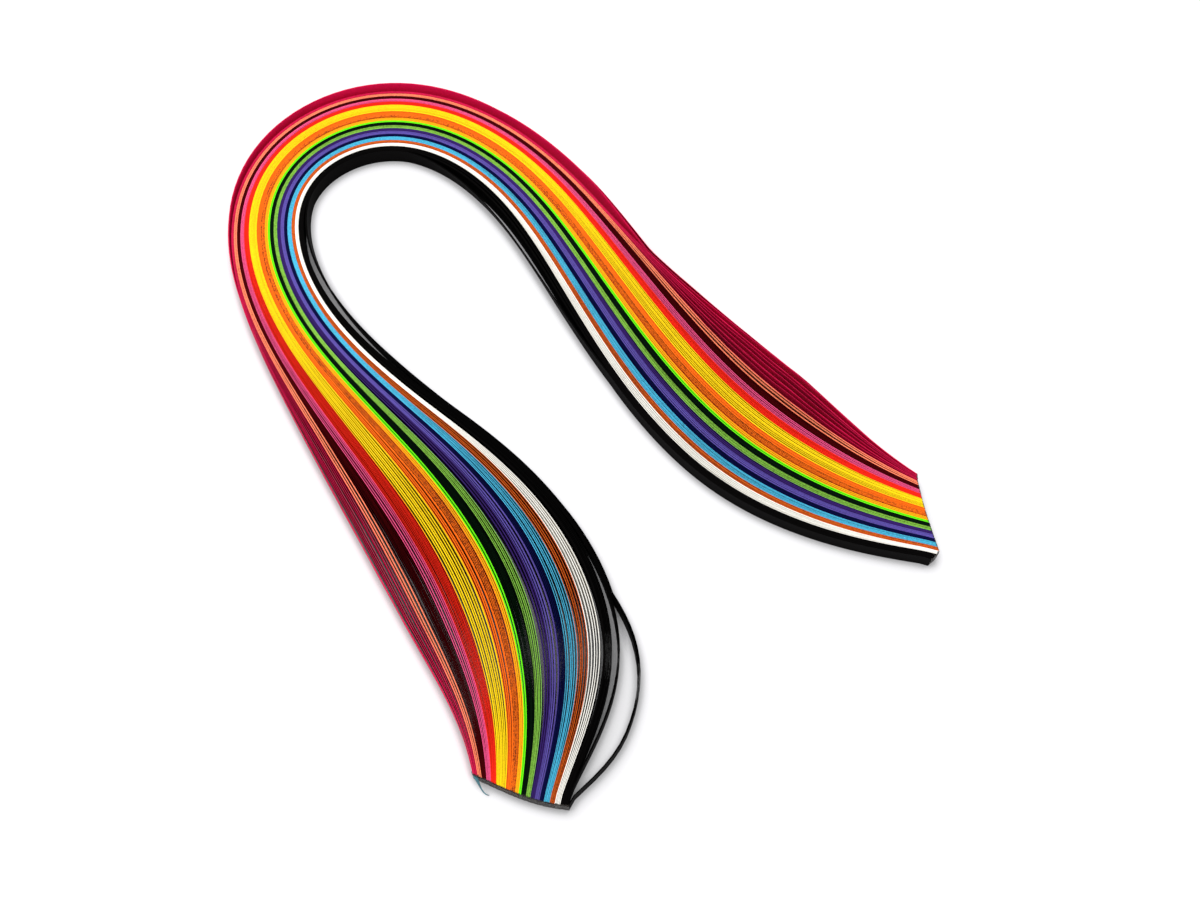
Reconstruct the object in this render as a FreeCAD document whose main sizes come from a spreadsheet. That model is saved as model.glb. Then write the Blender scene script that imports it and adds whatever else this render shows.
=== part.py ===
import FreeCAD, Part
import math
import os

# A bundle of coloured paper strips for quilling, in millimetres. The strips stand on edge, side by
# side, glued together at both ends, and the bundle is bent into a hook with two legs that fan out.
# Each colour is one solid: its strips lie pressed together, as the leaves of a book do.
# The bundle is described along its course, from its near end, round the bend, to its far end, and
# across it, from the inside of the bend (negative) to the outside (positive).

# Driving sizes that every colour shares
SIZES = {
    "strip_length": 540.0,
    "strip_width": 7.0,
    "paper_thickness": 0.12,
    # the near fan is widest a little nearer the end on the outside of the bend
    "near_fan_peak_inside": 77.0,
    "near_fan_peak_outside": 71.0,
    # the far fan is widest nearer the end on the inside of the bend, counted from the far end
    "far_fan_peak_inside": -44.0,
    "far_fan_peak_outside": -89.0,
    "far_fan_rest_inside": 0.19,
    "far_fan_rest_outside": 0.0,
    # share in which the strips fan out straight from the end instead of leaving it side by side
    "near_fan_flare_inside": 0.86,
    "near_fan_flare_outside": 0.72,
    "far_fan_flare_inside": 0.36,
    "far_fan_flare_outside": 0.95,
    # the ends are sheared, because strips of one length take bends of different radius
    "near_end_slant_deg": 29.5,
    "near_end_slant_inside": 9.0,
    "near_end_slant_outside": 10.5,
    "near_end_turn_back_deg": 33.0,
    "far_end_slant_deg": 12.9,
    # the far end also bows, by so much at so far across it
    "far_end_bow": 3.5,
    "far_end_bow_across": 20.0,
    "glue_thickness": 0.4,
    # distance along the course between two headings
    "course_step": 45.0,
}

# Heading of the course in degrees at every course step, from the near end on
HEADINGS = [164.2, 150.1, 130.8, 122.4, 127.6, 156.3, 211.1, 274.5, 305.6, 312.1, 301.8, 280.9, 263.0]

# Each colour from the inside of the bend to the outside: how many strips it has, how much air its
# strips take in where the near fan and the far fan are widest, and where its near fan has closed and
# its far fan opens, the latter counted back from the far end
COLOURS = [
    ("black", 18, 0.4, 3.6, 198.0, -262.0),
    ("white", 10, 1.35, 2.75, 261.0, -148.0),
    ("rust", 10, 0.65, 2.35, 238.0, -206.0),
    ("sky_blue", 12, 0.8, 2.55, 246.0, -169.0),
    ("navy", 10, 0.65, 1.05, 227.0, -150.0),
    ("lilac", 10, 0.65, 1.8, 232.0, -167.0),
    ("dark_violet", 10, 0.7, 2.15, 200.0, -240.0),
    ("light_green", 10, 0.6, 1.55, 194.0, -181.0),
    ("dark_green", 11, 0.85, 2.25, 230.0, -191.0),
    ("lime", 6, 0.25, 0.5, 201.0, -228.0),
    ("amber", 9, 0.4, 0.45, 215.0, -208.0),
    ("brown_orange", 12, 1.1, 1.3, 226.0, -204.0),
    ("orange", 11, 0.3, 1.35, 214.0, -203.0),
    ("yellow", 23, 1.8, 3.4, 243.0, -218.0),
    ("red", 11, 1.25, 3.15, 242.0, -264.0),
    ("pink", 10, 1.05, 1.8, 231.0, -249.0),
    ("maroon", 10, 1.5, 3.6, 238.0, -187.0),
    ("coral", 9, 1.35, 1.2, 201.0, -232.0),
    ("crimson", 10, 9.4, 4.15, 171.0, -230.0),
]
# The course runs along the boundary between the dark green strips and the lime ones
COURSE_COLOUR = "lime"

# Gaps where strands of one colour stand apart: the colour, how many strips stand apart, on which
# side of it, where the gap starts, is widest and ends, and how wide it opens. Places past the bend
# are counted back from the far end, so they are negative.
GAPS = [
    ("crimson", "loose_strand", 3, 1, 144.0, 180.0, 310.0, 2.6),
    ("crimson", "outer_strand", 3, 1, -176.0, -120.0, -60.0, 0.4),
    ("crimson", "inner_strand", 7, 1, -190.0, -140.0, -90.0, 0.5),
    ("black", "near_strand", 7, -1, 112.0, 187.0, 240.0, 2.7),
    ("black", "middle_strand", 8, -1, -244.0, -186.0, -130.0, 1.9),
    ("black", "outer_strand", 6, -1, -84.0, -36.0, -4.0, 1.6),
    ("black", "loose_strand", 3, -1, -56.0, -20.0, -0.1, 7.8),
]

# The two edges of the bundle and the sides of the gaps are chains of arcs. The boundaries between
# colours are chords, closer together where the course bends more.
EDGE_ARCS = 18
GAP_ARC_LENGTH = 20.0
CHORD_HEIGHT = 0.1
LONGEST_CHORD = 18.0
COURSE_GRAIN = 1.0

doc = FreeCAD.newDocument("quilling_paper_strips")
sheet = doc.addObject("Spreadsheet::Sheet", "sizes")


def fill_sheet():
    """Writes each driving size into a cell of its own, with its name as alias."""
    cells = dict(SIZES)
    for number, heading in enumerate(HEADINGS):
        cells["heading_%02d_deg" % number] = heading
    for colour, strips, near_air, far_air, near_close, far_open in COLOURS:
        cells[colour + "_strips"] = strips
        cells[colour + "_near_air"] = near_air
        cells[colour + "_far_air"] = far_air
        cells[colour + "_near_close"] = near_close
        cells[colour + "_far_open"] = far_open
    for colour, strand, strips, side, start, widest, end, width in GAPS:
        name = colour + "_" + strand
        cells[name + "_strips"] = strips
        cells[name + "_gap_start"] = start
        cells[name + "_gap_widest"] = widest
        cells[name + "_gap_end"] = end
        cells[name + "_gap_width"] = width
    for row, (name, value) in enumerate(cells.items(), start=1):
        sheet.set("A%d" % row, name)
        sheet.set("B%d" % row, str(value))
        sheet.setAlias("B%d" % row, name)
    doc.recompute()


def size(name):
    return float(sheet.get(name))


def place_of(name):
    """A place along the course, which its cell may count back from the far end."""
    place = size(name)
    return place + size("strip_length") if place < 0.0 else place


def swell(place, start, peak, flare=0.0):
    """Rises from 0 at start to 1 at peak, slowly at first, or at once where the flare is 1."""
    share = min(max((place - start) / (peak - start), 0.0), 1.0)
    slow = 0.5 - 0.5 * math.cos(math.pi * share)
    return slow + flare * (math.sin(0.5 * math.pi * share) - slow)


def heading_at(place):
    """Heading of the course in radians, smoothly between the headings of the course steps."""
    share = place / size("course_step")
    first = min(max(int(share), 0), len(HEADINGS) - 2)
    knots = []
    for number in (first - 1, first, first + 1, first + 2):
        knots.append(size("heading_%02d_deg" % min(max(number, 0), len(HEADINGS) - 1)))
    rest = share - first
    rise_in = 0.5 * (knots[2] - knots[0])
    rise_out = 0.5 * (knots[3] - knots[1])
    step = knots[2] - knots[1]
    square = rest * rest
    cube = square * rest
    degrees = knots[1] + rise_in * (rest - 2.0 * square + cube) + rise_out * (cube - square)
    degrees += step * (3.0 * square - 2.0 * cube)
    return math.radians(degrees)


class Course:
    """The line along which the bundle lies, stepped off from its headings."""

    def __init__(self, before, after):
        self.first = -before
        self.points = []
        place = -before
        x, y = 0.0, 0.0
        while place < after:
            self.points.append((x, y))
            middle = heading_at(place + 0.5 * COURSE_GRAIN)
            x += math.cos(middle) * COURSE_GRAIN
            y += math.sin(middle) * COURSE_GRAIN
            place += COURSE_GRAIN
        self.points.append((x, y))

    def point(self, place, across):
        """Point at a distance along the course and a distance across it, outside positive."""
        share = (place - self.first) / COURSE_GRAIN
        index = min(max(int(share), 0), len(self.points) - 2)
        rest = share - index
        x0, y0 = self.points[index]
        x1, y1 = self.points[index + 1]
        heading = heading_at(place)
        x = x0 + (x1 - x0) * rest + math.sin(heading) * across
        y = y0 + (y1 - y0) * rest - math.cos(heading) * across
        return FreeCAD.Vector(x, y, 0.0)


def gaps_of(colour):
    return [gap for gap in GAPS if gap[0] == colour]


def gap_width(gap, place):
    """How far a gap stands open at a place along the course."""
    name = gap[0] + "_" + gap[1]
    widest = place_of(name + "_gap_widest")
    closed = place_of(name + ("_gap_start" if place < widest else "_gap_end"))
    share = (place - closed) / (widest - closed)
    return size(name + "_gap_width") * math.sin(0.5 * math.pi * max(share, 0.0))


def between_edges(name, number):
    """A value that changes evenly from the innermost colour to the outermost one."""
    share = number / (len(COLOURS) - 1.0)
    return place_of(name + "_inside") * (1.0 - share) + place_of(name + "_outside") * share


def far_swell(place, number):
    """How far the far fan is open, for the colour with this number from the inside."""
    peak = between_edges("far_fan_peak", number)
    if place < peak:
        return swell(place, place_of(COLOURS[number][0] + "_far_open"), peak)
    rest = between_edges("far_fan_rest", number)
    flare = between_edges("far_fan_flare", number)
    return rest + (1.0 - rest) * swell(place, size("strip_length"), peak, flare)


def near_swell(place, number):
    """How far the near fan is open, for the colour with this number from the inside."""
    peak = between_edges("near_fan_peak", number)
    if place > peak:
        return swell(place, size(COLOURS[number][0] + "_near_close"), peak)
    return swell(place, 0.0, peak, between_edges("near_fan_flare", number))


def paper_and_air(number, place):
    """Width across one colour without its gaps."""
    colour = COLOURS[number][0]
    paper = size(colour + "_strips") * size("paper_thickness")
    air = size(colour + "_near_air") * near_swell(place, number)
    air += size(colour + "_far_air") * far_swell(place, number)
    return paper + air


def band_width(number, place):
    width = paper_and_air(number, place)
    for gap in gaps_of(COLOURS[number][0]):
        width += gap_width(gap, place)
    return width


def boundary_across(boundary, place):
    """Distance across the course of the boundary inside the colour with this number."""
    middle = [colour[0] for colour in COLOURS].index(COURSE_COLOUR)
    across = 0.0
    for number in range(middle, boundary):
        across += band_width(number, place)
    for number in range(boundary, middle):
        across -= band_width(number, place)
    return across


def near_end_shift(across):
    """How far along the course the near end lies at a distance across it."""
    inside = size("near_end_slant_inside")
    outside = size("near_end_slant_outside")
    slanted = min(max(across, -inside), outside)
    turned = math.tan(math.radians(size("near_end_turn_back_deg"))) * abs(across - slanted)
    return math.tan(math.radians(size("near_end_slant_deg"))) * slanted + turned


def far_end_shift(across):
    slant = math.tan(math.radians(size("far_end_slant_deg"))) * across
    return -slant - size("far_end_bow") * (across / size("far_end_bow_across")) ** 2


def boundary_ends(boundary):
    length = size("strip_length")
    near = near_end_shift(boundary_across(boundary, 0.0))
    far = length + far_end_shift(boundary_across(boundary, length))
    return near, far


def chain_of_arcs(points):
    """Arcs through each point with an odd number, from the point before it to the point after."""
    arcs = []
    for number in range(1, len(points), 2):
        arcs.append(Part.Arc(points[number - 1], points[number], points[number + 1]))
    return arcs


def chain_of_chords(points):
    return [Part.LineSegment(before, after) for before, after in zip(points, points[1:])]


def chord_places():
    """Places along the course whose chords all stand about equally far off it."""
    length = size("strip_length")
    places = [0.0]
    while places[-1] < length:
        place = places[-1]
        turn = abs(heading_at(place + LONGEST_CHORD * 0.5) - heading_at(place))
        bend = max(turn / (LONGEST_CHORD * 0.5), 8.0 * CHORD_HEIGHT / LONGEST_CHORD ** 2)
        places.append(place + math.sqrt(8.0 * CHORD_HEIGHT / bend))
    return [place * length / places[-1] for place in places]


def gap_joints(gap):
    """Places where the arcs along a gap meet."""
    start = place_of(gap[0] + "_" + gap[1] + "_gap_start")
    end = place_of(gap[0] + "_" + gap[1] + "_gap_end")
    arcs = max(2, round((end - start) / GAP_ARC_LENGTH))
    return [start + (end - start) * number / arcs for number in range(arcs + 1)]


def edge_joints(boundary):
    """Places where the arcs of an edge of the bundle meet. The edge follows the gaps beside it."""
    near, far = boundary_ends(boundary)
    joints = [near + (far - near) * number / EDGE_ARCS for number in range(EDGE_ARCS + 1)]
    edge_colour = COLOURS[0][0] if boundary == 0 else COLOURS[-1][0]
    for gap in gaps_of(edge_colour):
        along_gap = gap_joints(gap)
        joints = [place for place in joints if not along_gap[0] <= place <= along_gap[-1]]
        joints = sorted(joints + along_gap)
    return joints


def with_middles(joints):
    """The joints and the place halfway between each two."""
    places = [joints[0]]
    for before, after in zip(joints, joints[1:]):
        places.append(0.5 * (before + after))
        places.append(after)
    return places


def points_along(course, boundary, places):
    return [course.point(place, boundary_across(boundary, place)) for place in places]


def boundary_outline(course, boundary, places):
    """Points and lines of one boundary, from the near end to the far end."""
    if boundary in (0, len(COLOURS)):
        points = points_along(course, boundary, with_middles(edge_joints(boundary)))
        return points, chain_of_arcs(points)
    near, far = boundary_ends(boundary)
    share = (far - near) / size("strip_length")
    points = points_along(course, boundary, [near + place * share for place in places])
    return points, chain_of_chords(points)


def across_at_gap(number, gap, place):
    """Distance across the course of a gap's inside edge, in the colour with this number."""
    colour, strand, strips, side = gap[:4]
    share = size(colour + "_" + strand + "_strips") / size(colour + "_strips")
    before = 1.0 - share if side > 0 else share
    across = boundary_across(number, place) + before * paper_and_air(number, place)
    for other in gaps_of(colour):
        lies_inside = (other[2] > strips) if side > 0 else (other[2] < strips)
        if lies_inside:
            across += gap_width(other, place)
    return across


def gap_outline(course, number, gap):
    """The two sides of a gap, which meet at its two ends."""
    inside = []
    outside = []
    for place in with_middles(gap_joints(gap)):
        across = across_at_gap(number, gap, place)
        inside.append(course.point(place, across))
        outside.append(course.point(place, across + gap_width(gap, place)))
    outside[0] = inside[0]
    outside[-1] = inside[-1]
    return chain_of_arcs(inside) + chain_of_arcs(outside)


def origin_plane(body, role):
    for feature in body.Origin.OriginFeatures:
        if feature.Role == role:
            return feature
    raise ValueError("no origin plane " + role)


def padded_body(name, geometry, placement):
    """A piece cut from level: its outline on the table, raised by the strips' width."""
    body = doc.addObject("PartDesign::Body", name)
    body.Label = name
    sketch = body.newObject("Sketcher::SketchObject", name + "_outline")
    sketch.AttachmentSupport = [(origin_plane(body, "XY_Plane"), "")]
    sketch.MapMode = "FlatFace"
    for piece in geometry:
        sketch.addGeometry(piece, False)
    pad = body.newObject("PartDesign::Pad", name + "_height")
    pad.Profile = sketch
    pad.setExpression("Length", "sizes.strip_width")
    body.Tip = pad
    body.Placement = placement
    return body


def glue_ring(ends, headings, side):
    """Corners of a glue film on the strips' ends, side -1 before the near end and 1 past the far."""
    thickness = size("glue_thickness")
    outside = []
    for end, heading in zip(ends, headings):
        step = FreeCAD.Vector(math.cos(heading), math.sin(heading), 0.0) * (side * thickness)
        outside.append(end + step)
    return ends + outside[::-1]


def closed_outline(ring):
    return [Part.LineSegment(before, after) for before, after in zip(ring, ring[1:] + ring[:1])]


def box_centre(point_lists):
    """Middle of the level box round all the points."""
    xs = [point.x for points in point_lists for point in points]
    ys = [point.y for points in point_lists for point in points]
    return FreeCAD.Vector(0.5 * (min(xs) + max(xs)), 0.5 * (min(ys) + max(ys)), 0.0)


def edge_points(course, boundary):
    """Points along one outer edge of the bundle, close enough together to find its box."""
    near, far = boundary_ends(boundary)
    count = int((far - near) / COURSE_GRAIN)
    points = []
    for number in range(count + 1):
        place = near + (far - near) * number / count
        points.append(course.point(place, boundary_across(boundary, place)))
    return points


def build():
    fill_sheet()
    course = Course(20.0, size("strip_length") + 20.0)
    boundaries = range(len(COLOURS) + 1)
    places = chord_places()
    outlines = [boundary_outline(course, boundary, places) for boundary in boundaries]
    points = [outline[0] for outline in outlines]
    curves = [outline[1] for outline in outlines]
    near_headings = [heading_at(boundary_ends(boundary)[0]) for boundary in boundaries]
    far_headings = [heading_at(boundary_ends(boundary)[1]) for boundary in boundaries]
    near_ring = glue_ring([line[0] for line in points], near_headings, -1)
    far_ring = glue_ring([line[-1] for line in points], far_headings, 1)
    edges = [edge_points(course, boundary) for boundary in (0, len(COLOURS))]
    centre = box_centre(edges + [near_ring, far_ring])
    placement = FreeCAD.Placement(centre * -1.0, FreeCAD.Rotation())
    bodies = []
    for number, colour in enumerate([row[0] for row in COLOURS]):
        inner = points[number]
        outer = points[number + 1]
        geometry = curves[number] + curves[number + 1]
        geometry.append(Part.LineSegment(inner[-1], outer[-1]))
        geometry.append(Part.LineSegment(outer[0], inner[0]))
        for gap in gaps_of(colour):
            geometry.extend(gap_outline(course, number, gap))
        bodies.append(padded_body(colour + "_strips", geometry, placement))
    bodies.append(padded_body("near_end_glue", closed_outline(near_ring), placement))
    bodies.append(padded_body("far_end_glue", closed_outline(far_ring), placement))
    doc.recompute()
    return bodies


def check(bodies):
    for item in doc.Objects:
        for state in ("Invalid", "Error"):
            if state in item.State:
                raise RuntimeError(item.Name + " is " + state)
    for body in bodies:
        if body.Shape.isNull() or not body.Shape.isValid():
            raise RuntimeError(body.Label + " has no valid shape")


def export(bodies):
    os.makedirs("parts", exist_ok=True)
    for body in bodies:
        body.Shape.exportStep("parts/" + body.Label + ".step")


pieces = build()
check(pieces)
export(pieces)
for piece in pieces:
    print(piece.Label, len(piece.Shape.Solids), "solid,", round(piece.Shape.Volume, 1), "cubic mm")
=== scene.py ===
import math
from collections import namedtuple
import bpy
import numpy as np
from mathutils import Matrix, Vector


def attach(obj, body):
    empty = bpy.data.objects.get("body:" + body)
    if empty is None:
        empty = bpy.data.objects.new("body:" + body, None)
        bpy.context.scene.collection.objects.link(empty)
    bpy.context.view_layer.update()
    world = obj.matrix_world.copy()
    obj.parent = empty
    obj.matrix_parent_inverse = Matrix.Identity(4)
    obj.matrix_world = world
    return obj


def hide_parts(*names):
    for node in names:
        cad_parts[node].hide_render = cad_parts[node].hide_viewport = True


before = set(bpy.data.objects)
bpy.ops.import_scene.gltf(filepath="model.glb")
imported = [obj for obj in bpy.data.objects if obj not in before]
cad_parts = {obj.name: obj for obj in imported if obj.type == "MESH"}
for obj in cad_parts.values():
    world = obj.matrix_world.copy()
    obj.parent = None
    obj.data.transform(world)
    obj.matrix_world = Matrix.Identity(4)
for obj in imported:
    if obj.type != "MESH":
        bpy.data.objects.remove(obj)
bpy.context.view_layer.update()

# A bundle of coloured paper strips for quilling. Every strip is modelled: it stands on edge in its
# colour's band, and in the two fans the strips take in air unevenly, as loose paper does.
# Lengths in this file are in millimetres until a mesh is made.
MM = 0.001

# The strips and the course that the bundle follows, from its near end to its far end
STRIP_LENGTH = 540.0
STRIP_WIDTH = 7.0
PAPER = 0.12
COURSE_STEP = 45.0
COURSE_START = (116.985, -37.805)
HEADINGS = [164.2, 150.1, 130.8, 122.4, 127.6, 156.3, 211.1, 274.5, 305.6, 312.1, 301.8, 280.9, 263.0]
NEAR_FAN_PEAK = (77.0, 71.0)
FAR_FAN_PEAK = (496.0, 451.0)
FAR_FAN_REST = (0.19, 0.0)
NEAR_FAN_FLARE = (0.86, 0.72)
FAR_FAN_FLARE = (0.36, 0.95)
NEAR_END_SLANT_DEG = 29.5
NEAR_END_SLANT_ACROSS = (9.0, 10.5)
NEAR_END_TURN_BACK_DEG = 33.0
FAR_END_SLANT_DEG = 12.9
FAR_END_BOW = 3.5
FAR_END_BOW_ACROSS = 20.0

# Each colour from the inside of the bend to the outside: strips, air in the near and the far fan,
# where its near fan has closed and its far fan opens, how many strips stick together in the fans, how
# much lighter its outer strips are, how light its darkest streaks are (partly the paper's own tone, partly
# painted shade of strips that stand lower), and its colour in 255ths
Colour = namedtuple(
    "Colour", "name strips near_air far_air near_close far_open together tone_rise streak shade")
COLOURS = [Colour(*row) for row in [
    ("black", 18, 0.4, 3.6, 198.0, 278.0, 4, 0.0, 0.6, (6, 5, 5)),
    ("white", 10, 1.35, 2.75, 261.0, 392.0, 2, 0.5, 0.8, (255, 254, 248)),
    ("rust", 10, 0.65, 2.35, 238.0, 334.0, 2, 0.0, 0.35, (206, 86, 8)),
    ("sky_blue", 12, 0.8, 2.55, 246.0, 371.0, 2, 0.0, 0.5, (74, 186, 226)),
    ("navy", 10, 0.65, 1.05, 227.0, 390.0, 2, 0.0, 0.6, (9, 13, 62)),
    ("lilac", 10, 0.65, 1.8, 232.0, 373.0, 3, 0.2, 0.6, (92, 78, 168)),
    ("dark_violet", 10, 0.7, 2.15, 200.0, 300.0, 3, 0.0, 0.6, (46, 18, 98)),
    ("light_green", 10, 0.6, 1.55, 194.0, 359.0, 2, 0.0, 0.4, (128, 190, 66)),
    ("dark_green", 11, 0.85, 2.25, 230.0, 349.0, 1, 0.0, 0.5, (5, 24, 10)),
    ("lime", 6, 0.25, 0.5, 201.0, 312.0, 3, 0.0, 0.85, (104, 246, 2)),
    ("amber", 9, 0.4, 0.45, 215.0, 332.0, 3, 0.0, 0.75, (255, 174, 2)),
    ("brown_orange", 12, 1.1, 1.3, 226.0, 336.0, 2, 0.0, 0.22, (240, 104, 4)),
    ("orange", 11, 0.3, 1.35, 214.0, 337.0, 3, 0.0, 0.7, (255, 108, 2)),
    ("yellow", 23, 1.8, 3.4, 243.0, 322.0, 3, 0.0, 0.7, (255, 216, 2)),
    ("red", 11, 1.25, 3.15, 242.0, 276.0, 1, 0.0, 0.85, (255, 36, 6)),
    ("pink", 10, 1.05, 1.8, 231.0, 291.0, 2, 0.0, 0.55, (242, 82, 138)),
    ("maroon", 10, 1.5, 3.6, 238.0, 353.0, 1, 0.0, 0.6, (72, 2, 6)),
    ("coral", 9, 1.35, 1.2, 201.0, 308.0, 3, 0.0, 0.5, (255, 134, 98)),
    ("crimson", 10, 9.4, 4.15, 171.0, 310.0, 1, 0.4, 0.6, (220, 12, 78)),
]]
NAMES = [row.name for row in COLOURS]
COURSE_COLOUR = "lime"
# Gaps where strands stand apart: the colour, how many strips stand apart, on which side of it (1 is the
# outside of the bend), the places where the gap starts, is widest and ends, its width, and by how many
# degrees the strand's top leans outwards there
Gap = namedtuple("Gap", "colour apart side start widest end width lean")
GAPS = [Gap(*row) for row in [
    ("crimson", 3, 1, 144.0, 180.0, 310.0, 2.6, 10.0),
    ("crimson", 3, 1, 216.0, 276.0, 338.0, 1.0, 9.0),
    ("crimson", 1, 1, 84.0, 138.0, 182.0, 1.5, -12.0),
    ("crimson", 3, 1, 364.0, 420.0, 480.0, 0.4, 0.0),
    ("crimson", 7, 1, 350.0, 400.0, 450.0, 0.5, 0.0),
    ("black", 4, -1, 112.0, 187.0, 240.0, 1.7, -12.0),
    ("black", 9, -1, 112.0, 187.0, 240.0, 0.6, 0.0),
    ("black", 13, -1, 112.0, 187.0, 240.0, 0.4, 0.0),
    ("black", 5, -1, 296.0, 354.0, 410.0, 1.9, 7.0),
    ("black", 6, -1, 456.0, 504.0, 536.0, 1.6, 0.0),
    ("black", 3, -1, 484.0, 520.0, 539.9, 7.8, 0.0),
]]

# The camera of the photograph
VIEW_DISTANCE = 578.0
VIEW_ELEVATION_DEG = 68.0
VIEW_TARGET = (9.565, -9.395)
LENS = 51.54
SENSOR = 36.0

POINTS_ALONG = 181
COURSE_GRAIN = 1.0
COURSE_MARGIN = 20.0


# The course and the bands

def swell(place, start, peak, flare=0.0):
    """Rises from 0 at start to 1 at peak, slowly at first or, with a flare, straight from the start."""
    share = np.clip((place - start) / (peak - start), 0.0, 1.0)
    slow = 0.5 - 0.5 * np.cos(math.pi * share)
    return slow + flare * (np.sin(0.5 * math.pi * share) - slow)


def heading_at(place):
    """Heading of the course in radians at places along it."""
    share = np.asarray(place, float) / COURSE_STEP
    first = np.clip(share.astype(int), 0, len(HEADINGS) - 2)
    headings = np.array(HEADINGS)
    knots = [headings[np.clip(first + step, 0, len(HEADINGS) - 1)] for step in (-1, 0, 1, 2)]
    rest = share - first
    rise_in = 0.5 * (knots[2] - knots[0])
    rise_out = 0.5 * (knots[3] - knots[1])
    square = rest * rest
    cube = square * rest
    degrees = knots[1] + rise_in * (rest - 2.0 * square + cube) + rise_out * (cube - square)
    return np.radians(degrees + (knots[2] - knots[1]) * (3.0 * square - 2.0 * cube))


class Course:
    """The line along which the bundle lies, stepped off from its headings."""

    def __init__(self):
        last = STRIP_LENGTH + COURSE_MARGIN + COURSE_GRAIN
        self.places = np.arange(-COURSE_MARGIN, last, COURSE_GRAIN)
        middles = heading_at(self.places[:-1] + 0.5 * COURSE_GRAIN)
        self.x = np.concatenate([[0.0], np.cumsum(np.cos(middles) * COURSE_GRAIN)])
        self.y = np.concatenate([[0.0], np.cumsum(np.sin(middles) * COURSE_GRAIN)])
        self.x += COURSE_START[0] - np.interp(0.0, self.places, self.x)
        self.y += COURSE_START[1] - np.interp(0.0, self.places, self.y)

    def points(self, places, across):
        heading = heading_at(places)
        x = np.interp(places, self.places, self.x) + np.sin(heading) * across
        y = np.interp(places, self.places, self.y) - np.cos(heading) * across
        return np.stack([x, y], axis=1)


def gap_share(gap, place):
    """How far a gap is open, from 0 at its ends to 1 where it is widest."""
    closed = np.where(place < gap.widest, gap.start, gap.end)
    share = (place - closed) / (gap.widest - closed)
    return np.sin(0.5 * math.pi * np.maximum(share, 0.0))


def gap_width(gap, place):
    return gap.width * gap_share(gap, place)


def between_edges(pair, number):
    """A colour's value between the innermost colour's, which comes first, and the outermost one's."""
    share = number / (len(COLOURS) - 1.0)
    return pair[0] * (1.0 - share) + pair[1] * share


def fan_air(number, place):
    """How much air the strips of one colour have between them."""
    row = COLOURS[number]
    near_peak = between_edges(NEAR_FAN_PEAK, number)
    opening = swell(place, 0.0, near_peak, between_edges(NEAR_FAN_FLARE, number))
    near = np.where(place > near_peak, swell(place, row.near_close, near_peak), opening)
    far_peak = between_edges(FAR_FAN_PEAK, number)
    rest = between_edges(FAR_FAN_REST, number)
    opening = swell(place, row.far_open, far_peak)
    flare = between_edges(FAR_FAN_FLARE, number)
    closing = rest + (1.0 - rest) * swell(place, STRIP_LENGTH, far_peak, flare)
    return row.near_air * near + row.far_air * np.where(place < far_peak, opening, closing)


def paper_and_air(number, place):
    return COLOURS[number].strips * PAPER + fan_air(number, place)


def band_width(number, place):
    width = paper_and_air(number, place)
    for gap in GAPS:
        if gap.colour == NAMES[number]:
            width = width + gap_width(gap, place)
    return width


def boundary_across(boundary, place):
    """Distance across the course of the boundary inside the colour with this number."""
    middle = NAMES.index(COURSE_COLOUR)
    across = np.zeros_like(np.asarray(place, float))
    for number in range(middle, boundary):
        across = across + band_width(number, place)
    for number in range(boundary, middle):
        across = across - band_width(number, place)
    return across


def near_end_shift(across):
    """How far along the course the strips start: the cut is slanted and turns back at its corners."""
    slanted = np.clip(across, -NEAR_END_SLANT_ACROSS[0], NEAR_END_SLANT_ACROSS[1])
    turned = math.tan(math.radians(NEAR_END_TURN_BACK_DEG)) * abs(across - slanted)
    return math.tan(math.radians(NEAR_END_SLANT_DEG)) * slanted + turned


def far_end_shift(across):
    """How far past the nominal length the strips end: the cut is slanted and bowed."""
    slant = math.tan(math.radians(FAR_END_SLANT_DEG)) * across
    return -slant - FAR_END_BOW * (across / FAR_END_BOW_ACROSS) ** 2


def boundary_ends(boundary):
    """The places where a boundary between colours starts and ends."""
    near = near_end_shift(float(boundary_across(boundary, 0.0)))
    far = STRIP_LENGTH + far_end_shift(float(boundary_across(boundary, STRIP_LENGTH)))
    return near, far


def cuts_of(number):
    """Where one colour is cut into strands: after how many strips from the inside, and its gaps there."""
    cuts = {}
    for gap in GAPS:
        if gap.colour == NAMES[number]:
            after = gap.apart if gap.side < 0 else COLOURS[number].strips - gap.apart
            cuts.setdefault(after, []).append(gap)
    return sorted(cuts.items())


def strand_rails(course, number):
    """For each strand of a colour: its number of strips, its inside and outside line and its lean."""
    cuts = cuts_of(number)
    strips = COLOURS[number].strips
    limits = [0] + [after for after, gaps in cuts] + [strips]
    ends_inside = np.array(boundary_ends(number))
    ends_outside = np.array(boundary_ends(number + 1))
    along = np.linspace(0.0, 1.0, POINTS_ALONG)
    strands = []
    for strand in range(len(limits) - 1):
        lines = []
        for limit in (limits[strand], limits[strand + 1]):
            share = limit / strips
            near, far = ends_inside * (1.0 - share) + ends_outside * share
            places = near + (far - near) * along
            across = boundary_across(number, places) + paper_and_air(number, places) * share
            for after, gaps in cuts[:strand]:
                across = across + sum(gap_width(gap, places) for gap in gaps)
            lines.append(course.points(places, across))
        # the strands beyond a gap, as seen from the bundle's middle, lean at its places
        lean = np.zeros(POINTS_ALONG)
        for after, gaps in cuts:
            for gap in gaps:
                beyond = limits[strand] >= after if gap.side > 0 else limits[strand + 1] <= after
                if beyond:
                    lean += gap.lean * gap_share(gap, places)
        strands.append((limits[strand + 1] - limits[strand], lines[0], lines[1], np.radians(lean)))
    return strands


# Node helpers

def link(tree, source, target):
    tree.links.new(source, target)


def fill_sockets(tree, sockets, values):
    """Sets each socket to its value, or links it where the value is a socket."""
    for socket, value in zip(sockets, values):
        if isinstance(value, (int, float, list)):
            socket.default_value = value
        else:
            link(tree, value, socket)


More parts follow.
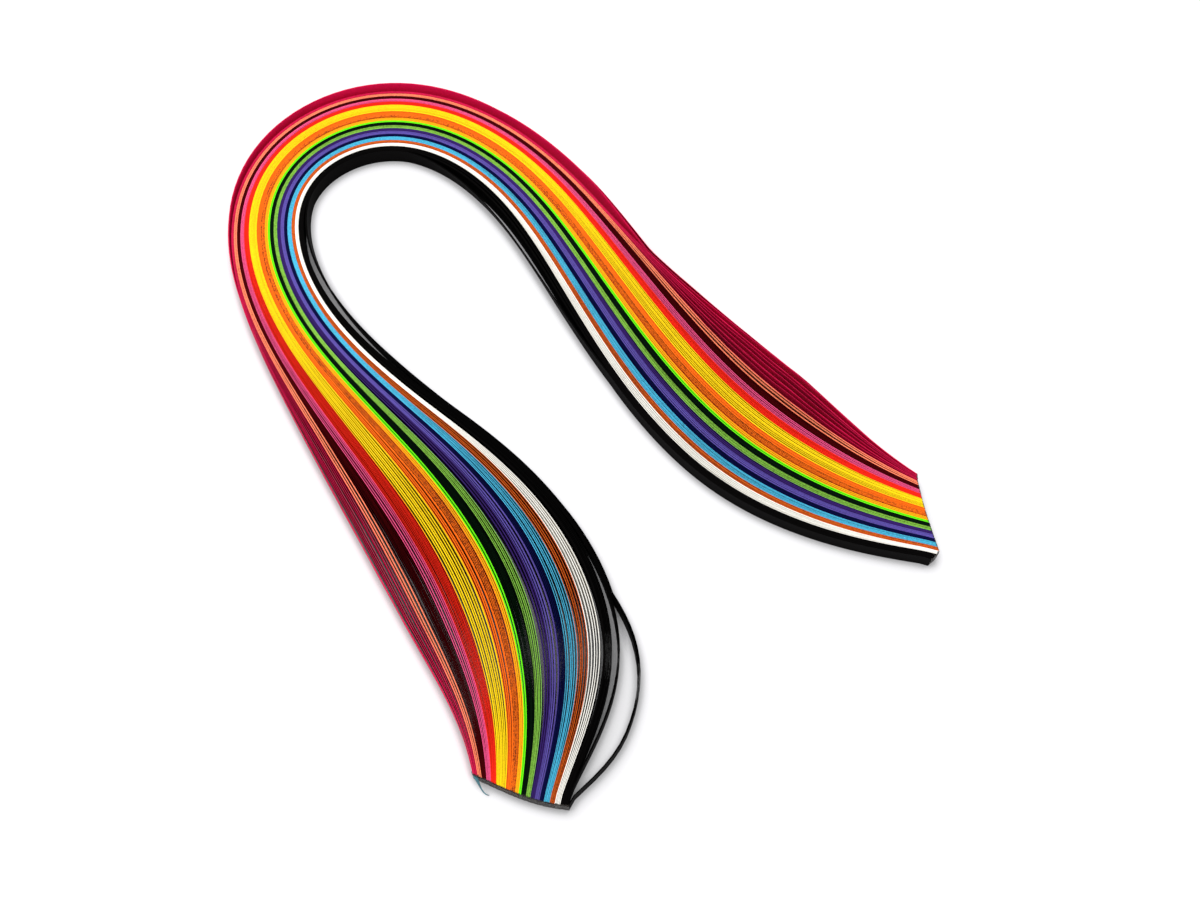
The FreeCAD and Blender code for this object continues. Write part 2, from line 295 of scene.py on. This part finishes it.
def math_node(tree, operation, *values):
    node = tree.nodes.new("ShaderNodeMath")
    node.operation = operation
    fill_sockets(tree, node.inputs, values)
    return node.outputs[0]


def times(tree, first, second):
    return math_node(tree, "MULTIPLY", first, second)


def plus(tree, first, second):
    return math_node(tree, "ADD", first, second)


def minus(tree, first, second):
    return math_node(tree, "SUBTRACT", first, second)


def vector_node(tree, operation, first, second=None, factor=None):
    node = tree.nodes.new("ShaderNodeVectorMath")
    node.operation = operation
    link(tree, first, node.inputs[0])
    if second is not None:
        link(tree, second, node.inputs[1])
    if factor is not None:
        link(tree, factor, node.inputs["Scale"])
    return node


def combine(tree, x, y, z):
    node = tree.nodes.new("ShaderNodeCombineXYZ")
    fill_sockets(tree, node.inputs, (x, y, z))
    return node.outputs[0]


# The strips

# How unevenly the strips' top edges stand, and how far a strip wanders in the air that it has
TOP_UNEVENNESS = 0.18
WANDER = 1.1
WAVES_ALONG = 22.0
# The strips' bodies are a little thinner than the room that each has, so that neighbours stay apart
BODY_SHARE = 0.92
# A group's first strip has this air before it at least, by the power of a random share added to it
LEAST_LEAD = 0.6
LEAD_POWER = 1.5
AIR_IN_GROUP = 0.04
# How fast the papers' tone changes along and across, its middle and how far it spreads
STREAKS_ALONG = 7.0
STREAKS_ACROSS = 0.6
TONE_MIDDLE = 0.8
TONE_SPREAD = 2.4
# Steps that keep the noise of strips, colours and strands apart, and the second draw from the first
WAVE_STEP = 7.31
SEED_STEP = 3.7
STRAND_STEP = 64.0
SECOND_DRAW = 11.0
# Edges sharper than this, in radians, stay crisp
CRISP_EDGE = 0.6

STRIP_INPUTS = [
    ("Paper Thickness", "NodeSocketFloat"),
    ("Strip Width", "NodeSocketFloat"),
    ("Top Unevenness", "NodeSocketFloat"),
    ("Wander", "NodeSocketFloat"),
    ("Strips Together", "NodeSocketFloat"),
    ("Tone Rise", "NodeSocketFloat"),
    ("Free Sides", "NodeSocketFloat"),
    ("Seed", "NodeSocketInt"),
    ("Material", "NodeSocketMaterial"),
]


def named_attribute(tree, name, kind):
    node = tree.nodes.new("GeometryNodeInputNamedAttribute")
    node.data_type = kind
    node.inputs["Name"].default_value = name
    return node.outputs["Attribute"]


def store(tree, geometry, name, value, domain):
    node = tree.nodes.new("GeometryNodeStoreNamedAttribute")
    node.data_type = "FLOAT"
    node.domain = domain
    node.inputs["Name"].default_value = name
    link(tree, geometry, node.inputs["Geometry"])
    link(tree, value, node.inputs["Value"])
    return node.outputs["Geometry"]


def random_share(tree, item, seed):
    """A random number from 0 to 1, the default range, for each item."""
    node = tree.nodes.new("FunctionNodeRandomValue")
    node.data_type = "FLOAT"
    link(tree, item, node.inputs["ID"])
    link(tree, seed, node.inputs["Seed"])
    return node.outputs[1]


def fanned_strips_tree():
    """Fills the space between each strand's two lines with strips that stand on edge."""
    tree = bpy.data.node_groups.new("fanned_strips", "GeometryNodeTree")
    tree.interface.new_socket("Geometry", in_out="INPUT", socket_type="NodeSocketGeometry")
    for name, kind in STRIP_INPUTS:
        tree.interface.new_socket(name, in_out="INPUT", socket_type=kind)
    tree.interface.new_socket("Geometry", in_out="OUTPUT", socket_type="NodeSocketGeometry")
    given = tree.nodes.new("NodeGroupInput").outputs
    strips = named_attribute(tree, "strips", "INT")
    strand = named_attribute(tree, "strand", "INT")
    first = named_attribute(tree, "first", "INT")
    of_colour = named_attribute(tree, "of_colour", "INT")
    outside = named_attribute(tree, "outside", "FLOAT_VECTOR")
    along = named_attribute(tree, "along", "FLOAT")

    lines = tree.nodes.new("GeometryNodeMeshToCurve")
    link(tree, given["Geometry"], lines.inputs["Mesh"])
    copies = tree.nodes.new("GeometryNodeDuplicateElements")
    copies.domain = "SPLINE"
    link(tree, lines.outputs["Curve"], copies.inputs["Geometry"])
    link(tree, strips, copies.inputs["Amount"])
    index = copies.outputs["Duplicate Index"]
    item = plus(tree, index, times(tree, strand, STRAND_STEP))
    share_out = math_node(tree, "DIVIDE", plus(tree, index, first), of_colour)

    # share of the strand's air that lies before each strip: most of it before the first of each group
    in_group = math_node(tree, "MODULO", plus(tree, index, 0.5), given["Strips Together"])
    leads = math_node(tree, "LESS_THAN", in_group, 1.0)
    weight = math_node(tree, "POWER", random_share(tree, item, given["Seed"]), LEAD_POWER)
    weight = times(tree, leads, plus(tree, weight, LEAST_LEAD))
    not_first = math_node(tree, "GREATER_THAN", index, 0.5)
    weight = times(tree, not_first, plus(tree, weight, AIR_IN_GROUP))
    pile = tree.nodes.new("GeometryNodeAccumulateField")
    pile.data_type = "FLOAT"
    pile.domain = "CURVE"
    link(tree, weight, pile.inputs["Value"])
    link(tree, strand, pile.inputs["Group ID"])
    share = math_node(tree, "DIVIDE", pile.outputs["Leading"], pile.outputs["Total"])

    position = tree.nodes.new("GeometryNodeInputPosition").outputs[0]
    span = vector_node(tree, "SUBTRACT", outside, position).outputs["Vector"]
    width = vector_node(tree, "LENGTH", span).outputs["Value"]
    across = vector_node(tree, "NORMALIZE", span).outputs["Vector"]
    paper = times(tree, strips, given["Paper Thickness"])
    air = math_node(tree, "MAXIMUM", minus(tree, width, paper), 0.0)
    place_in_pile = times(tree, plus(tree, index, 0.5), given["Paper Thickness"])
    place_in_pile = plus(tree, place_in_pile, times(tree, air, share))
    # each strip wanders a little in the air that it has
    wave = tree.nodes.new("ShaderNodeTexNoise")
    wave.inputs["Scale"].default_value = 1.0
    wave.inputs["Detail"].default_value = 1.0
    seed_step = times(tree, given["Seed"], SEED_STEP)
    where = combine(tree, times(tree, along, WAVES_ALONG), times(tree, item, WAVE_STEP), seed_step)
    link(tree, where, wave.inputs["Vector"])
    wander = minus(tree, wave.outputs["Fac"], 0.5)
    own_air = math_node(tree, "DIVIDE", air, strips)
    wander = times(tree, wander, times(tree, own_air, given["Wander"]))
    offset = plus(tree, place_in_pile, wander)

    # the strips' top edges aren't quite level with one another
    proud = random_share(tree, item, plus(tree, given["Seed"], SECOND_DRAW))
    lift = times(tree, proud, given["Top Unevenness"])
    height = plus(tree, lift, times(tree, given["Strip Width"], 0.5))
    sideways = vector_node(tree, "SCALE", across, factor=offset).outputs["Vector"]
    moved = vector_node(tree, "ADD", sideways, combine(tree, 0.0, 0.0, height)).outputs["Vector"]
    placed = tree.nodes.new("GeometryNodeSetPosition")
    link(tree, copies.outputs["Geometry"], placed.inputs["Geometry"])
    link(tree, moved, placed.inputs["Offset"])
    # a few neighbouring strips share a tone, and in some colours the outer strips are lighter; the darker
    # tones are partly the paper's own and partly painted shade of strips that stand lower than their
    # neighbours
    streak = tree.nodes.new("ShaderNodeTexNoise")
    streak.inputs["Scale"].default_value = 1.0
    streak.inputs["Detail"].default_value = 2.0
    where = combine(tree, times(tree, item, STREAKS_ACROSS), times(tree, along, STREAKS_ALONG), seed_step)
    link(tree, where, streak.inputs["Vector"])
    own_tone = times(tree, minus(tree, streak.outputs["Fac"], 0.5), TONE_SPREAD)
    own_tone = plus(tree, own_tone, TONE_MIDDLE)
    rise = times(tree, minus(tree, share_out, own_tone), given["Tone Rise"])
    tone = plus(tree, own_tone, rise)
    toned = store(tree, placed.outputs["Geometry"], "strip_tone", tone, "POINT")
    # strips inside a strand have neighbours on both sides, which keep the light off their faces; the
    # material paints shade on these faces
    not_last = math_node(tree, "LESS_THAN", index, minus(tree, strips, 1.5))
    painted_shade_mask = times(tree, not_first, not_last)
    painted_shade_mask = math_node(tree, "MAXIMUM", painted_shade_mask, minus(tree, 1.0, given["Free Sides"]))
    toned = store(tree, toned, "painted_shade_mask", painted_shade_mask, "CURVE")
    upright = tree.nodes.new("GeometryNodeSetCurveNormal")
    upright.mode = "Z_UP"
    link(tree, toned, upright.inputs["Curve"])

    leaning = tree.nodes.new("GeometryNodeSetCurveTilt")
    link(tree, upright.outputs["Curve"], leaning.inputs["Curve"])
    link(tree, named_attribute(tree, "lean", "FLOAT"), leaning.inputs["Tilt"])

    section = tree.nodes.new("GeometryNodeCurvePrimitiveQuadrilateral")
    link(tree, times(tree, given["Paper Thickness"], BODY_SHARE), section.inputs["Width"])
    link(tree, given["Strip Width"], section.inputs["Height"])
    ribbons = tree.nodes.new("GeometryNodeCurveToMesh")
    ribbons.inputs["Fill Caps"].default_value = True
    link(tree, leaning.outputs["Curve"], ribbons.inputs["Curve"])
    link(tree, section.outputs["Curve"], ribbons.inputs["Profile Curve"])

    smooth = tree.nodes.new("GeometryNodeSetShadeSmooth")
    smooth.domain = "FACE"
    link(tree, ribbons.outputs["Mesh"], smooth.inputs["Geometry"])
    angle = tree.nodes.new("GeometryNodeInputMeshEdgeAngle").outputs["Unsigned Angle"]
    crisp = tree.nodes.new("GeometryNodeSetShadeSmooth")
    crisp.domain = "EDGE"
    link(tree, smooth.outputs["Geometry"], crisp.inputs["Geometry"])
    link(tree, math_node(tree, "LESS_THAN", angle, CRISP_EDGE), crisp.inputs["Shade Smooth"])
    whole = tree.nodes.new("GeometryNodeRealizeInstances")
    link(tree, crisp.outputs["Geometry"], whole.inputs["Geometry"])
    finished = tree.nodes.new("GeometryNodeSetMaterial")
    link(tree, whole.outputs["Geometry"], finished.inputs["Geometry"])
    link(tree, given["Material"], finished.inputs["Material"])
    out = tree.nodes.new("NodeGroupOutput")
    link(tree, finished.outputs["Geometry"], out.inputs["Geometry"])
    return tree


def add_object(name, mesh):
    made = bpy.data.objects.new(name, mesh)
    bpy.context.scene.collection.objects.link(made)
    return made


def rails_mesh(name, strands):
    """The inside line of each strand, which carries where the outside line runs."""
    vertices, edges, outside = [], [], []
    whole_numbers = {"strips": [], "strand": [], "first": [], "of_colour": []}
    measures = {"along": [], "lean": []}
    of_colour = sum(count for count, inner, outer, lean in strands)
    before = 0
    for strand, (count, inner, outer, lean) in enumerate(strands):
        first = len(vertices)
        vertices += [(x * MM, y * MM, 0.0) for x, y in inner]
        outside += [(x * MM, y * MM, 0.0) for x, y in outer]
        edges += [(first + step, first + step + 1) for step in range(len(inner) - 1)]
        for field, value in zip(whole_numbers.values(), (count, strand, before, of_colour)):
            field += [value] * len(inner)
        before += count
        measures["along"] += list(np.linspace(0.0, 1.0, len(inner)))
        measures["lean"] += list(lean)
    mesh = bpy.data.meshes.new(name)
    mesh.from_pydata(vertices, edges, [])
    mesh.attributes.new("outside", "FLOAT_VECTOR", "POINT").data.foreach_set("vector", np.ravel(outside))
    for kind, fields in (("INT", whole_numbers), ("FLOAT", measures)):
        for field, values in fields.items():
            mesh.attributes.new(field, kind, "POINT").data.foreach_set("value", values)
    return mesh


def set_input(modifier, name, value):
    """Sets a modifier's input by its socket's identifier."""
    for item in modifier.node_group.interface.items_tree:
        if item.item_type == "SOCKET" and item.in_out == "INPUT" and item.name == name:
            modifier[item.identifier] = value
            return
    raise KeyError(name)


def plain_mesh(source, name):
    """The evaluated object's mesh as a new plain object; the source is removed."""
    evaluated = source.evaluated_get(bpy.context.evaluated_depsgraph_get())
    mesh = bpy.data.meshes.new_from_object(evaluated)
    bpy.data.objects.remove(source)
    mesh.name = name
    return add_object(name, mesh)


def strips_piece(course, number, tree, material):
    """One colour's strips as a piece of the scene."""
    row = COLOURS[number]
    name = row.name + "_paper_strips"
    source = add_object(name + "_rails", rails_mesh(name + "_rails", strand_rails(course, number)))
    modifier = source.modifiers.new("strips", "NODES")
    modifier.node_group = tree
    set_input(modifier, "Paper Thickness", PAPER * MM)
    set_input(modifier, "Strip Width", STRIP_WIDTH * MM)
    set_input(modifier, "Top Unevenness", TOP_UNEVENNESS * MM)
    set_input(modifier, "Wander", WANDER)
    set_input(modifier, "Strips Together", float(row.together))
    set_input(modifier, "Tone Rise", row.tone_rise)
    set_input(modifier, "Free Sides", 1.0 if number in (0, len(COLOURS) - 1) else 0.0)
    set_input(modifier, "Seed", number + 1)
    set_input(modifier, "Material", material)
    piece = plain_mesh(source, name)
    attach(piece, "root")
    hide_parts(row.name + "_strips")


# Materials

# Features per metre of the paper's grain, of its slow changes in tone and of the glue's
GRAIN_SCALE = 2200.0
CLOUD_SCALE = 90.0
GLUE_SCALE = 700.0
# Papers whose strongest colour is below this, in linear light, have hardly any sheen
DARK_PAPER = 0.08


def linear(colour):
    """A colour in 255ths as linear light, with full alpha."""
    shares = [value / 255.0 for value in colour]
    return [s / 12.92 if s <= 0.04045 else ((s + 0.055) / 1.055) ** 2.4 for s in shares] + [1.0]


def mix_colours(tree, factor, first, second):
    node = tree.nodes.new("ShaderNodeMix")
    node.data_type = "RGBA"
    link(tree, factor, node.inputs["Factor"])
    fill_sockets(tree, (node.inputs["A"], node.inputs["B"]), (first, second))
    return node.outputs["Result"]


def noise(tree, vector, scale):
    node = tree.nodes.new("ShaderNodeTexNoise")
    node.inputs["Scale"].default_value = scale
    node.inputs["Detail"].default_value = 3.0
    link(tree, vector, node.inputs["Vector"])
    return node.outputs["Fac"]


def add_bump(tree, shader, height, strength, distance):
    bump = tree.nodes.new("ShaderNodeBump")
    bump.inputs["Strength"].default_value = strength
    bump.inputs["Distance"].default_value = distance * MM
    link(tree, height, bump.inputs["Height"])
    link(tree, bump.outputs["Normal"], shader.inputs["Normal"])


def attribute(tree, name):
    node = tree.nodes.new("ShaderNodeAttribute")
    node.attribute_name = name
    return node.outputs["Fac"]


def new_material(name):
    material = bpy.data.materials.new(name)
    material.use_nodes = True
    tree = material.node_tree
    tree.nodes.clear()
    shader = tree.nodes.new("ShaderNodeBsdfPrincipled")
    out = tree.nodes.new("ShaderNodeOutputMaterial")
    link(tree, shader.outputs["BSDF"], out.inputs["Surface"])
    return material, tree, shader


def shade_between_strips(row):
    """How much painted shade darkens the faces between strips: the more air, the more light reaches them, so
    the less shade is painted.

    White paper passes so much light on that its faces get no painted shade and stay light.
    """
    if row.name == "white":
        return 0.0
    return 1.0 - min(max(row.near_air, row.far_air) / row.strips, 0.8)


def paper_material(row):
    """Dyed paper: strips differ in tone, their darker tones partly painted shade of strips that stand lower,
    fibres show as fine grain, and painted shade darkens the faces between strips.
    """
    material, tree, shader = new_material(row.name + "_paper")
    light = linear(row.shade)
    # the dark end of the strips' tone: partly the paper's own streaks, partly painted shade of strips that
    # stand lower
    dark = [value * row.streak ** power for value, power in zip(light, (1.4, 1.6, 1.8))] + [1.0]
    # painted shade: the dark colour that faces between strips are mixed towards
    painted_shade_colour = [value * max(row.streak - 0.2, 0.12) for value in dark[:3]] + [1.0]
    place = tree.nodes.new("ShaderNodeTexCoord").outputs["Object"]
    tone = attribute(tree, "strip_tone")
    grain = noise(tree, place, GRAIN_SCALE)
    cloud = noise(tree, place, CLOUD_SCALE)
    # papers with dark streaks have strong flecks too
    fleck = min(0.8 / row.streak, 3.4)
    shade = plus(tree, tone, times(tree, minus(tree, grain, 0.5), fleck))
    shade = plus(tree, shade, times(tree, minus(tree, cloud, 0.5), 0.5))
    colour = mix_colours(tree, shade, dark, light)
    normal = tree.nodes.new("ShaderNodeSeparateXYZ")
    link(tree, tree.nodes.new("ShaderNodeNewGeometry").outputs["Normal"], normal.inputs[0])
    upright = math_node(tree, "LESS_THAN", math_node(tree, "ABSOLUTE", normal.outputs["Z"]), 0.5)
    # painted shade on the upright faces of strips that have neighbours on both sides
    painted_shade_amount = times(tree, upright, attribute(tree, "painted_shade_mask"))
    painted_shade_amount = times(tree, painted_shade_amount, shade_between_strips(row))
    link(tree, mix_colours(tree, painted_shade_amount, colour, painted_shade_colour), shader.inputs["Base Color"])
    shader.inputs["Roughness"].default_value = 0.7
    dark_paper = max(light[:3]) < DARK_PAPER
    shader.inputs["Specular IOR Level"].default_value = 0.02 if dark_paper else 0.14
    add_bump(tree, shader, grain, 0.25, 0.02)
    return material


def glue_material(name, first, second, cover):
    """Dried clear glue: thin, tinted by what stuck to it, with a soft gloss."""
    material, tree, shader = new_material(name)
    place = tree.nodes.new("ShaderNodeTexCoord").outputs["Object"]
    cloud = noise(tree, place, GLUE_SCALE)
    tint = mix_colours(tree, cloud, linear(first), linear(second))
    link(tree, tint, shader.inputs["Base Color"])
    shader.inputs["Roughness"].default_value = 0.4
    shader.inputs["Specular IOR Level"].default_value = 0.2
    shader.inputs["Alpha"].default_value = cover
    add_bump(tree, shader, cloud, 0.5, 0.1)
    return material


# The glue films on the strips' ends

# The film's section: how far it stands off the end of the strips, and its height
FILM_SECTION = [
    (-0.25, 7.03), (0.02, 7.06), (0.14, 6.98), (0.24, 6.6), (0.28, 5.0), (0.3, 3.0), (0.28, 1.0), (0.2, 0.1),
]
FILM_SAMPLES = 90
FILM_THICKNESS = 0.1
FILM_RIPPLE = 0.05


def end_line(course, side):
    """Points across one end of the bundle, from the inside out, and the way out of it at each."""
    shares = np.linspace(0.0, len(COLOURS), FILM_SAMPLES)
    ends = np.array([boundary_ends(boundary) for boundary in range(len(COLOURS) + 1)])
    column = ends[:, 0] if side < 0 else ends[:, 1]
    across = np.array([boundary_across(b, column[b]) for b in range(len(COLOURS) + 1)])
    numbers = np.arange(len(COLOURS) + 1)
    places = np.interp(shares, numbers, column)
    offsets = np.interp(shares, numbers, across)
    heading = heading_at(places)
    outwards = np.stack([np.cos(heading), np.sin(heading)], axis=1) * side
    return course.points(places, offsets), outwards


def film_piece(film, node, thickness):
    """Gives a film its thickness and its place in the part."""
    solid = film.modifiers.new("thickness", "SOLIDIFY")
    solid.thickness = thickness * MM
    solid.offset = 0.0
    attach(film, "root")
    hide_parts(node)


def glue_film(course, name, node, side, material):
    """The film of glue over one end of the bundle."""
    points, outwards = end_line(course, side)
    rng = np.random.default_rng(5 + side)
    vertices = []
    for stand_off, height in FILM_SECTION:
        ripple = rng.normal(0.0, FILM_RIPPLE, len(points))
        for (x, y), (dx, dy), uneven in zip(points, outwards, ripple):
            out = stand_off + uneven
            vertices.append(((x + dx * out) * MM, (y + dy * out) * MM, height * MM))
    faces = []
    for row in range(len(FILM_SECTION) - 1):
        for column in range(len(points) - 1):
            corner = row * len(points) + column
            faces.append((corner, corner + 1, corner + 1 + len(points), corner + len(points)))
    mesh = bpy.data.meshes.new(name)
    mesh.from_pydata(vertices, [], faces)
    mesh.materials.append(material)
    mesh.shade_smooth()
    film_piece(add_object(name, mesh), node, FILM_THICKNESS)


# A wisp of film that hangs from the far end's outer corner: for each step along it, how far it lies from
# the corner along X and along Y, its height and its width
WISP = [
    (-0.3, 0.9, 6.6, 0.5), (0.2, 0.1, 6.0, 0.7), (1.0, -0.9, 5.0, 1.0), (1.6, -2.0, 3.9, 0.8),
    (2.1, -3.1, 2.8, 0.45), (2.7, -4.1, 1.8, 0.3), (3.4, -4.9, 1.0, 0.25), (4.2, -5.4, 0.6, 0.2),
    (5.0, -5.5, 0.4, 0.16),
]
WISP_THICKNESS = 0.08


def wisp_of_film(course, material):
    points, outwards = end_line(course, 1)
    corner = points[-1]
    vertices = []
    for along_x, along_y, height, width in WISP:
        for side in (-0.5, 0.5):
            x = corner[0] + along_x + side * width
            y = corner[1] + along_y + side * width * 0.5
            vertices.append((x * MM, y * MM, (height + side * 0.4) * MM))
    faces = [(2 * n, 2 * n + 1, 2 * n + 3, 2 * n + 2) for n in range(len(WISP) - 1)]
    mesh = bpy.data.meshes.new("glue_wisp")
    mesh.from_pydata(vertices, [], faces)
    mesh.materials.append(material)
    mesh.shade_smooth()
    wisp = add_object("glue_wisp", mesh)
    rounding = wisp.modifiers.new("rounding", "SUBSURF")
    rounding.levels = 2
    rounding.render_levels = 2
    film_piece(wisp, "far_end_glue", WISP_THICKNESS)


# Stage, light and camera; the table's half side and the lamps' places are in metres

TABLE_HALF = 3.0
# How much of the table's look is plain white where the camera sees it
TABLE_GLOW = 0.45


def open_sky(tree, reach, shut, clear, least):
    """How much painted light a spot on the table gets, by how much of the sky is open within a reach."""
    sky = tree.nodes.new("ShaderNodeAmbientOcclusion")
    sky.samples = 8
    sky.inputs["Distance"].default_value = reach * MM
    curve = tree.nodes.new("ShaderNodeMapRange")
    curve.interpolation_type = "SMOOTHSTEP"
    for name, value in (("From Min", shut), ("From Max", clear), ("To Min", least)):
        curve.inputs[name].default_value = value
    link(tree, sky.outputs["AO"], curve.inputs["Value"])
    return curve.outputs["Result"]


def white_floor():
    """A pale table. The camera sees part of it as plain white, and it keeps the bundle's shadow, with
    painted shadow darkening its colour and glow in slits and close beside the bundle.
    """
    mesh = bpy.data.meshes.new("table")
    half = TABLE_HALF
    corners = [(-half, -half, 0), (half, -half, 0), (half, half, 0), (-half, half, 0)]
    mesh.from_pydata(corners, [], [(0, 1, 2, 3)])
    material, tree, shader = new_material("table_white")
    shader.inputs["Roughness"].default_value = 0.9
    shader.inputs["Specular IOR Level"].default_value = 0.1
    glow = tree.nodes.new("ShaderNodeEmission")
    path = tree.nodes.new("ShaderNodeLightPath")
    seen = math_node(tree, "MAXIMUM", path.outputs["Is Camera Ray"], path.outputs["Is Glossy Ray"])
    seen = math_node(tree, "MAXIMUM", seen, path.outputs["Is Transmission Ray"])
    # painted shadow: the table's colour and glow darken where strips stand close together, as no light gets
    # down there, and a little close beside the bundle
    sky_in_slits = open_sky(tree, reach=6.0, shut=0.095, clear=0.165, least=0.0)
    sky_beside = open_sky(tree, reach=3.0, shut=0.5, clear=1.0, least=0.55)
    painted_light_share = times(tree, sky_in_slits, sky_beside)
    link(tree, painted_light_share, glow.inputs["Strength"])
    # painted shadow: the table's own colour goes towards near black where little sky is open
    ground = mix_colours(tree, painted_light_share, [0.02, 0.02, 0.03, 1.0], [0.86, 0.85, 0.88, 1.0])
    link(tree, ground, shader.inputs["Base Color"])
    blend = tree.nodes.new("ShaderNodeMixShader")
    link(tree, times(tree, seen, TABLE_GLOW), blend.inputs[0])
    link(tree, shader.outputs["BSDF"], blend.inputs[1])
    link(tree, glow.outputs["Emission"], blend.inputs[2])
    link(tree, blend.outputs["Shader"], tree.nodes["Material Output"].inputs["Surface"])
    mesh.materials.append(material)
    add_object("table", mesh)


def area_light(name, place, size, watts):
    """A round lamp at a place, turned to the middle of the table."""
    lamp = bpy.data.lights.new(name, "AREA")
    lamp.shape = "DISK"
    lamp.size = size
    lamp.energy = watts
    made = bpy.data.objects.new(name, lamp)
    made.location = Vector(place)
    made.rotation_euler = (-Vector(place)).to_track_quat("-Z", "Y").to_euler()
    bpy.context.scene.collection.objects.link(made)


def light_the_stage():
    world = bpy.data.worlds.new("white_room")
    world.use_nodes = True
    tree = world.node_tree
    background = tree.nodes["Background"]
    background.inputs["Color"].default_value = (1.0, 1.0, 1.0, 1.0)
    path = tree.nodes.new("ShaderNodeLightPath")
    strength = times(tree, path.outputs["Is Camera Ray"], 0.2)
    link(tree, plus(tree, strength, 0.8), background.inputs["Strength"])
    bpy.context.scene.world = world
    area_light("softbox_above", (-0.25, 0.35, 1.1), size=0.9, watts=10.0)
    area_light("softbox_front", (0.5, -0.8, 0.9), size=0.8, watts=3.0)


def photo_camera():
    camera = bpy.data.cameras.new("photo_camera")
    camera.lens = LENS
    camera.sensor_width = SENSOR
    camera.sensor_fit = "HORIZONTAL"
    camera.clip_start = 0.01
    made = bpy.data.objects.new("photo_camera", camera)
    elevation = math.radians(VIEW_ELEVATION_DEG)
    target = Vector((VIEW_TARGET[0], VIEW_TARGET[1], 0.0)) * MM
    back = Vector((0.0, -math.cos(elevation), math.sin(elevation))) * (VIEW_DISTANCE * MM)
    made.location = target + back
    made.rotation_euler = (-back).to_track_quat("-Z", "Y").to_euler()
    bpy.context.scene.collection.objects.link(made)
    bpy.context.scene.camera = made


def build():
    photo_camera()
    course = Course()
    tree = fanned_strips_tree()
    for number, row in enumerate(COLOURS):
        strips_piece(course, number, tree, paper_material(row))
    glue = glue_material("dried_glue", (9, 8, 7), (56, 50, 42), 0.55)
    glue_film(course, "near_end_glue_film", "near_end_glue", -1, glue)
    glue_film(course, "far_end_glue_film", "far_end_glue", 1, glue)
    wisp_of_film(course, glue_material("wisp_glue", (80, 160, 176), (70, 70, 74), 0.8))
    white_floor()
    light_the_stage()
    bpy.context.scene.view_settings.view_transform = "Standard"


build()
